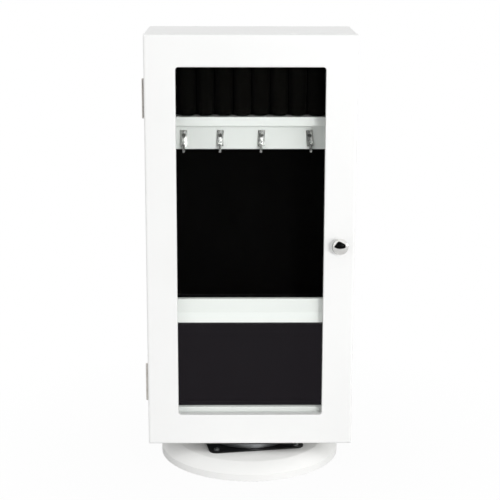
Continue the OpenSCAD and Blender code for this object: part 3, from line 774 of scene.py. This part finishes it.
def stamped_plate():
    half = PLATE_T / 2
    plate = start(
        bpy.ops.mesh.primitive_grid_add,
        x_subdivisions=PLATE_COLUMNS,
        y_subdivisions=4,
        size=1,
        rotation=UPRIGHT,
        location=(0, -half, PLATE_H / 2),
    )
    edit(plate)
    bpy.ops.mesh.select_all(action="SELECT")
    bpy.ops.transform.resize(value=(PLATE_W, 1, PLATE_H), center_override=(0, -half, PLATE_H / 2))
    corner_x = PLATE_W / 2 - CLOSE
    low_z, high_z = CLOSE, PLATE_H - CLOSE
    choose(plate, "VERT", lambda at, normal: abs(at.x) > corner_x and not low_z < at.z < high_z)
    bpy.ops.mesh.bevel(offset=PLATE_CORNER, segments=3, affect="VERTICES")
    leave()
    apply(plate, "SOLIDIFY", thickness=PLATE_T, offset=0)
    outward(plate)
    return plate


def cut_with(piece, tool, operation):
    apply(piece, "BOOLEAN", operation=operation, solver="EXACT", object=tool)
    bpy.data.objects.remove(tool)


def hook_pattern():
    hook = stamped_plate()
    cut_with(hook, bent_finger(), "UNION")
    for up in (SCREW_UP, EYE_UP):
        drill = start(
            bpy.ops.mesh.primitive_cylinder_add,
            vertices=24,
            radius=HOLE_R,
            depth=4 * MM,
            location=(0, 0, up),
            rotation=UPRIGHT,
        )
        cut_with(hook, drill, "DIFFERENCE")
    apply(hook, "BEVEL", width=HOOK_EDGE, segments=2, limit_method="ANGLE", angle_limit=math.radians(50))
    return hook


def dish(hook, lean):
    """Curves a hook a little across its width, and bows its foot off the rail, as stamping leaves it."""
    half = PLATE_W / 2

    def move(at, normal):
        across = at.x / half
        foot = min(1.0, max(0.0, 1 - at.z / PLATE_H))
        return Vector((0, -PLATE_DISH * (1 - across * across) - lean * across - PLATE_BOW * foot * foot, 0))

    shape_by(hook, move)


def make_hooks():
    pattern = hook_pattern()
    rail_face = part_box("hook_rail")[0][1]
    screw_low, screw_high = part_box("hook_screws")
    foot = (screw_low[2] + screw_high[2]) / 2 - SCREW_UP
    for number, (across, tilt, lean) in enumerate(HOOKS):
        hook = copy_of(pattern)
        dish(hook, lean * MM)
        swing = Matrix.Rotation(math.radians(tilt), 4, "Y")
        up = Vector((0, 0, SCREW_UP))
        carry(hook, lambda at: swing @ (at - up) + up + Vector((across * MM, rail_face, foot)))
        place(
            hook,
            f"necklace_hook_{number + 1}",
            "cabinet",
            HOOK_STEEL,
            replaces=["necklace_hooks"],
            angle=35,
        )
    bpy.data.objects.remove(pattern)


# Hook screws: a domed head with a cross recess, proud of the plate.
# The cross is turned by degrees on the head, and each screw by radians from the one before.
SCREW_HEAD_R = 2.1 * MM
SCREW_HEAD_H = 1.2 * MM
SCREW_DOME = 0.7 * MM
CROSS_SIZE = (2.5 * MM, 0.55 * MM, 1.3 * MM)
CROSS_TURN = 20
SCREW_TURN = 1.1


def screw_head():
    """A head that faces -Z, with its middle at the origin."""
    head = start(bpy.ops.mesh.primitive_cylinder_add, vertices=32, radius=SCREW_HEAD_R, depth=SCREW_HEAD_H)
    edit(head)
    choose(head, "FACE", lambda at, normal: normal.z < -0.9)
    bpy.ops.mesh.bevel(offset=SCREW_DOME, segments=5, profile=0.5)
    leave()
    for turn in (0, 90):
        slot = start(
            bpy.ops.mesh.primitive_cube_add,
            size=1,
            location=(0, 0, -SCREW_HEAD_H / 2),
            scale=CROSS_SIZE,
            rotation=(0, 0, math.radians(turn + CROSS_TURN)),
        )
        cut_with(head, slot, "DIFFERENCE")
    return head


def make_hook_screws():
    pattern = screw_head()
    low, high = corners("hook_screws")
    made = []
    for number, (across, _, _) in enumerate(HOOKS):
        head = copy_of(pattern)
        turn = Matrix.Rotation(math.radians(-90), 4, "X") @ Matrix.Rotation(number * SCREW_TURN, 4, "Z")
        seat = Vector((across * MM, low.y + SCREW_HEAD_H / 2, (low.z + high.z) / 2))
        carry(head, lambda at: turn @ at + seat)
        made.append(head)
    bpy.data.objects.remove(pattern)
    join_all(made)
    place(made[0], "hook_screw_heads", "cabinet", SCREW_STEEL, replaces=["hook_screws"], angle=35)


def join_all(pieces):
    """Joins pieces into the first."""
    take(pieces[0])
    for piece in pieces:
        piece.select_set(True)
    bpy.ops.object.join()


# Brads: small domed heads that hold the glass strips and the back board
BRAD_H = 0.5 * MM
BRAD_RISE = 0.12 * MM
BRAD_OUT = -0.1 * MM


def brad_head(radius):
    brad = start(bpy.ops.mesh.primitive_cylinder_add, vertices=16, radius=radius, depth=BRAD_H)
    edit(brad)
    choose(brad, "FACE", lambda at, normal: normal.z > 0.9)
    bpy.ops.mesh.inset(thickness=radius * 0.35)
    bpy.ops.transform.translate(value=(0, 0, BRAD_RISE))
    leave()
    return brad


def brads(name, body, spots, face_y, radius):
    """One mesh of brad heads on a face that looks towards +Y, most of their height sunk in it."""
    pattern = brad_head(radius)
    turn = Matrix.Rotation(math.radians(-90), 4, "X")
    made = []
    for x, z in spots:
        head = copy_of(pattern)
        carry(head, lambda at: turn @ at + Vector((x, face_y + BRAD_OUT, z)))
        made.append(head)
    bpy.data.objects.remove(pattern)
    join_all(made)
    place(made[0], name, body, ZINC, angle=50)


def spread(low, high, count):
    return [low + (high - low) * step / (count - 1) for step in range(count)]


def round_edge(node, edge, ends, counts):
    """Spots of brads along a node's four sides, this far from its edge and from the ends of each side."""
    low, high = corners(node)
    ups = spread(low.z + ends[0], high.z - ends[0], counts[0])
    acrosses = spread(low.x + ends[1], high.x - ends[1], counts[1])
    spots = [(x, z) for x in (low.x + edge, high.x - edge) for z in ups]
    spots += [(x, z) for z in (low.z + edge, high.z - edge) for x in acrosses]
    return spots, high.y


def make_brads():
    on_strips = round_edge("glass_beads", 2.5 * MM, (14 * MM, 18 * MM), (6, 3))
    brads("glass_brads", "door", *on_strips, 0.6 * MM)
    on_back = round_edge("back_board", 2.6 * MM, (12 * MM, 30 * MM), (8, 4))
    brads("back_brads", "cabinet", *on_back, 0.9 * MM)


# Door bumpers: moulded rubber buttons with a soft edge and a shallow dish
BUMPER_EDGE = 0.7 * MM
BUMPER_RIM = 0.9 * MM
BUMPER_DISH = 0.2 * MM


def make_bumpers():
    low, high = corners("door_bumpers")
    radius = (high.x - low.x) / 2
    for name, z in (("door_bumper_low", low.z + radius), ("door_bumper_high", high.z - radius)):
        bumper = start(
            bpy.ops.mesh.primitive_cylinder_add,
            vertices=40,
            radius=radius,
            depth=high.y - low.y,
            location=((low.x + high.x) / 2, (low.y + high.y) / 2, z),
            rotation=UPRIGHT,
        )
        edit(bumper)
        choose(bumper, "FACE", lambda at, normal: normal.y > 0.9)
        bpy.ops.mesh.bevel(offset=BUMPER_EDGE, segments=4, profile=0.5)
        choose(bumper, "FACE", lambda at, normal: normal.y > 0.98)
        bpy.ops.mesh.inset(thickness=BUMPER_RIM)
        bpy.ops.transform.translate(value=(0, -BUMPER_DISH, 0))
        leave()
        place(bumper, name, "door", RUBBER, replaces=["door_bumpers"])


make_ring_rolls()
make_velvet_boards()
make_felt()
make_hooks()
make_hook_screws()
make_brads()
make_bumpers()


# Stage: a white floor, two cards that only mirrors see and that paint reflections into them, soft light
FLOOR_HALF = 3.0
FLOOR_AT = -0.2 * MM
FLOOR_TONE = (0.6, 0.6, 0.6)
FLOOR_GLOW = 0.96
FLOOR_MIRRORED = 0.35
# Painted shade: nearer than SHADOW_FAR the floor's glow fades towards FLOOR_GLOW, letting the real shadow
# show and darkening the floor a touch round the base
SHADOW_NEAR = 0.12
SHADOW_FAR = 0.36
# A dark card in front of the cabinet that only mirrors see, a painted dark reflection in the knob and the
# glass; its outline in x and z
DARK_AT = -0.62
DARK_TONE = (0.004, 0.004, 0.004)
DARK_OUTLINE = (
    (-0.95, 0),
    (0.95, 0),
    (0.95, 0.5),
    (0.4, 0.72),
    (-0.1, 1.05),
    (-0.3, 0.95),
    (-0.65, 0.4),
    (-0.95, 0.3),
)
# A glowing card just above the floor before it, which paints a charcoal reflection into the lower part of
# the glass; its outline in x and y. The knob's mirror is a little rough, so it misses this card.
REFLECTION_CARD_UP = 1 * MM
REFLECTION_CARD_TONE = (0.205, 0.18, 0.215)
REFLECTION_CARD_OUTLINE = ((-0.112, -0.56), (0.112, -0.56), (0.082, -0.17), (-0.082, -0.17))
# How bright the world is below and above where it lights the cabinet
SKY_LOW = 0.48
SKY_HIGH = 0.93
# Lamps: name, place, what they aim at, size and power
LAMPS = (
    ("key", (0.59, -2.12, 0.74), (0, 0, 0.24), (0.26, 0.16), 14.3),
    ("side_key", (1.0, -1.95, 0.5), (0, 0, 0.18), (0.6, 0.3), 4.8),
    ("side_low", (1.3, -0.18, 0.38), (0, -0.07, 0.016), (0.4, 0.3), 2.4),
    ("fill", (-1.0, -1.6, 0.3), (0, 0, 0.22), (0.6, 0.6), 2.1),
)


def pale_floor():
    """White to the camera, a touch deeper round the base, and dimmer in what mirrors it. Round the base the
    glow gives way to the lit floor, which shows the real shadow and also a painted shade where no shadow
    falls.
    """
    material = bpy.data.materials.new("pale_floor")
    material.use_nodes = True
    g = Graph(material.node_tree)
    shader = g.tree.nodes["Principled BSDF"]
    g.feed(FLOOR_TONE, shader.inputs["Base Color"])
    shader.inputs["Roughness"].default_value = 0.9
    glow = g.add("ShaderNodeEmission")
    mix = g.add("ShaderNodeMixShader")
    reach = g.add("ShaderNodeVectorMath", operation="LENGTH")
    g.join(g.add("ShaderNodeTexCoord").outputs["Object"], reach.inputs[0])
    whiteness = g.remap(reach.outputs["Value"], SHADOW_NEAR, SHADOW_FAR, FLOOR_GLOW, 1.0)
    path = g.add("ShaderNodeLightPath").outputs
    mirrored = g.math("MAXIMUM", path["Is Glossy Ray"], path["Is Transmission Ray"])
    seen = g.math("MAXIMUM", path["Is Camera Ray"], g.math("MULTIPLY", mirrored, FLOOR_MIRRORED))
    seen = g.math("MULTIPLY", seen, whiteness)
    g.join(seen, mix.inputs["Fac"])
    g.join(shader.outputs["BSDF"], mix.inputs[1])
    g.join(glow.outputs["Emission"], mix.inputs[2])
    g.join(mix.outputs["Shader"], g.tree.nodes["Material Output"].inputs["Surface"])
    return material


def card_tone(tone, sharp_only):
    """Shows its tone to rays that were mirrored, with sharp_only to perfectly sharp ones alone."""
    material = bpy.data.materials.new("card_tone")
    material.use_nodes = True
    g = Graph(material.node_tree)
    glow = g.add("ShaderNodeEmission")
    g.feed(tone, glow.inputs["Color"])
    mix = g.add("ShaderNodeMixShader")
    path = g.add("ShaderNodeLightPath").outputs
    seen = g.math("GREATER_THAN", path["Glossy Depth"], 0.5)
    if sharp_only:
        seen = g.math("MULTIPLY", seen, path["Is Singular Ray"])
    g.join(seen, mix.inputs["Fac"])
    g.join(g.add("ShaderNodeBsdfTransparent").outputs["BSDF"], mix.inputs[1])
    g.join(glow.outputs["Emission"], mix.inputs[2])
    g.join(mix.outputs["Shader"], g.tree.nodes["Material Output"].inputs["Surface"])
    return material


def card(name, points, tone, sharp_only):
    """A flat card that only mirrors see, which paints a reflection into them."""
    mesh = bpy.data.meshes.new(name)
    mesh.from_pydata(points, [], [tuple(range(len(points)))])
    made = bpy.data.objects.new(name, mesh)
    bpy.context.scene.collection.objects.link(made)
    made.data.materials.append(card_tone(tone, sharp_only))
    for ray in ("camera", "diffuse", "shadow", "volume_scatter"):
        setattr(made, "visible_" + ray, False)


def make_stage():
    bpy.ops.object.select_all(action="DESELECT")
    bpy.ops.mesh.primitive_plane_add(size=2 * FLOOR_HALF, location=(0, 0, FLOOR_AT))
    floor = bpy.context.object
    floor.name = "floor"
    floor.data.materials.append(pale_floor())
    # Painted reflection: a near-black card that only mirrors see
    card("dark_card", [(x, DARK_AT, z) for x, z in DARK_OUTLINE], DARK_TONE, sharp_only=False)
    # Painted reflection: this card glows in a charcoal tone for the glass's sharp mirror alone
    card("reflection_card", [(x, y, REFLECTION_CARD_UP) for x, y in REFLECTION_CARD_OUTLINE], REFLECTION_CARD_TONE, sharp_only=True)


def area_light(name, at, aim, size, power):
    data = bpy.data.lights.new(name, "AREA")
    data.shape = "RECTANGLE"
    data.size, data.size_y = size
    data.energy = power
    lamp = bpy.data.objects.new(name, data)
    bpy.context.scene.collection.objects.link(lamp)
    lamp.location = at
    lamp.rotation_mode = "QUATERNION"
    lamp.rotation_quaternion = (Vector(aim) - Vector(at)).to_track_quat("-Z", "Y")


def make_world():
    """White where it is seen or mirrored, and a soft light from above elsewhere."""
    world = bpy.data.worlds.new("studio")
    bpy.context.scene.world = world
    world.use_nodes = True
    g = Graph(world.node_tree)
    back = g.tree.nodes["Background"]
    height = g.add("ShaderNodeSeparateXYZ")
    g.join(g.add("ShaderNodeTexCoord").outputs["Generated"], height.inputs[0])
    sky = g.remap(height.outputs["Z"], 0.0, 1.0, SKY_LOW, SKY_HIGH)
    path = g.add("ShaderNodeLightPath").outputs
    seen = g.math("MAXIMUM", path["Is Camera Ray"], path["Is Transmission Ray"])
    seen = g.math("MAXIMUM", seen, path["Is Glossy Ray"])
    strength = g.add("ShaderNodeMix", data_type="FLOAT")
    g.join(seen, strength.inputs["Factor"])
    g.join(sky, strength.inputs[2])
    strength.inputs[3].default_value = 1.0
    g.join(strength.outputs[0], back.inputs["Strength"])
    back.inputs["Color"].default_value = (1.0, 1.0, 1.0, 1.0)


make_stage()
make_world()
for lamp in LAMPS:
    area_light(*lamp)
bpy.context.scene.view_settings.view_transform = "Standard"
